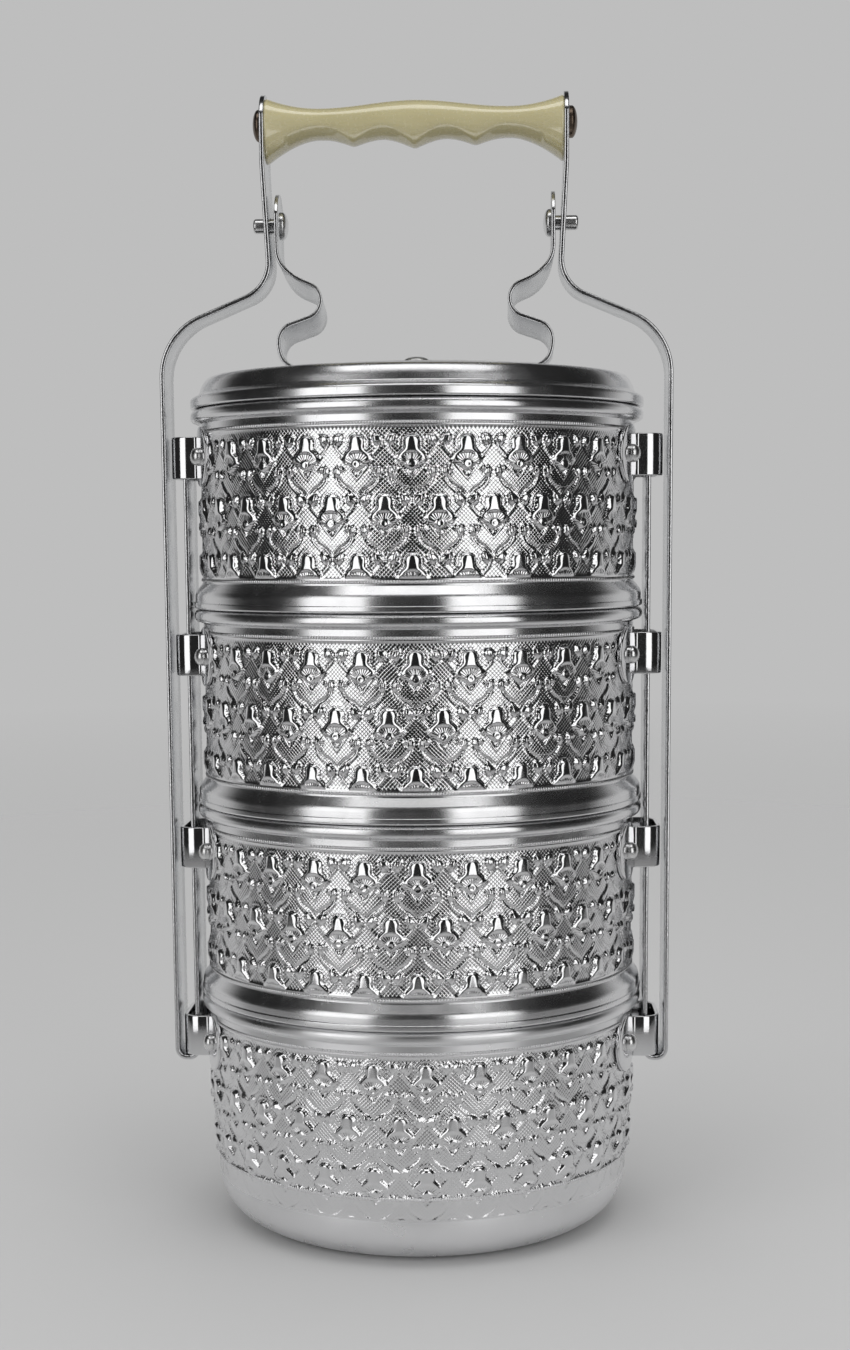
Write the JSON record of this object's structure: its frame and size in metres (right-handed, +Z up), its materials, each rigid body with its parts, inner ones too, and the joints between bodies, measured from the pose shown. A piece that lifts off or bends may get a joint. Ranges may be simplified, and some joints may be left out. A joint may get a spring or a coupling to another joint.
{
  "type": "tiffin carrier",
  "caption": "Stacked lunch carrier: nesting round bowls under a domed lid, guided by a strap frame with a moulded grip and locked by a sprung clip.",
  "frame": {"origin": "middle of the base, on the surface that the carrier stands on", "axes": "+Z up along the stack, +X towards the right frame strap, +Y to the back, with the ears on X"},
  "size_m": [0.1622, 0.1444, 0.3604],
  "materials": {
    "polished_bowl": "polished",
    "satin_bowl": "satin",
    "ear_strip": "polished",
    "frame_strap": "satin",
    "spring_strip": "satin",
    "rivet_metal": "polished",
    "rod_steel": "worn",
    "grip_plastic": "gloss"
  },
  "bodies": {
    "carrier": {"left_frame_strap": "frame_strap", "right_frame_strap": "frame_strap", "handle_grip": "grip_plastic", "handle_rod": "rod_steel", "bottom_bowl": "satin_bowl", "bottom_bowl_left_ear": "ear_strip", "bottom_bowl_right_ear": "ear_strip", "bottom_bowl_rivets": "rivet_metal"},
    "second_tier": {"second_bowl": "polished_bowl", "second_bowl_left_ear": "ear_strip", "second_bowl_right_ear": "ear_strip", "second_bowl_rivets": "rivet_metal"},
    "third_tier": {"third_bowl": "polished_bowl", "third_bowl_left_ear": "ear_strip", "third_bowl_right_ear": "ear_strip", "third_bowl_rivets": "rivet_metal"},
    "top_tier": {"top_bowl": "polished_bowl", "top_bowl_left_ear": "ear_strip", "top_bowl_right_ear": "ear_strip", "top_bowl_rivets": "rivet_metal"},
    "lid_unit": {"lid": "polished_bowl", "clip_base": "spring_strip", "clip_rivet": "rivet_metal"},
    "left_arm": {"left_spring_arm": "spring_strip", "left_stud": "rivet_metal"},
    "right_arm": {"right_spring_arm": "spring_strip", "right_stud": "rivet_metal"}
  },
  "joints": [
    {"name": "lid_lift", "type": "slide", "parent": "carrier", "child": "lid_unit", "axis": [0, 0, 1], "range_m": [0, 0.01], "deforming": ["left_spring_arm", "right_spring_arm", "left_stud", "right_stud"]},
    {"name": "top_bowl_lift", "type": "slide", "parent": "carrier", "child": "top_tier", "axis": [0, 0, 1], "range_m": [0, 0.008]},
    {"name": "third_bowl_lift", "type": "slide", "parent": "carrier", "child": "third_tier", "axis": [0, 0, 1], "range_m": [0, 0.0055]},
    {"name": "second_bowl_lift", "type": "slide", "parent": "carrier", "child": "second_tier", "axis": [0, 0, 1], "range_m": [0, 0.003]},
    {"name": "left_arm_squeeze", "type": "hinge", "parent": "lid_unit", "child": "left_arm", "pos_m": [-0.03665, 0, 0.27581], "axis": [0, 1, 0], "range_deg": [0, 10.5], "stiffness_Nm_per_rad": 0.3},
    {"name": "right_arm_squeeze", "type": "hinge", "parent": "lid_unit", "child": "right_arm", "pos_m": [0.03665, 0, 0.27581], "axis": [0, -1, 0], "range_deg": [0, 10.5], "stiffness_Nm_per_rad": 0.3}
  ],
  "couplings": [
    {"joint": "top_bowl_lift", "follows": "lid_lift", "ratio": 0.75},
    {"joint": "third_bowl_lift", "follows": "lid_lift", "ratio": 0.5},
    {"joint": "second_bowl_lift", "follows": "lid_lift", "ratio": 0.25},
    {"joint": "left_arm_squeeze", "follows": "lid_lift", "rad_per_m": 17.4},
    {"joint": "right_arm_squeeze", "follows": "lid_lift", "rad_per_m": 17.4}
  ]
}
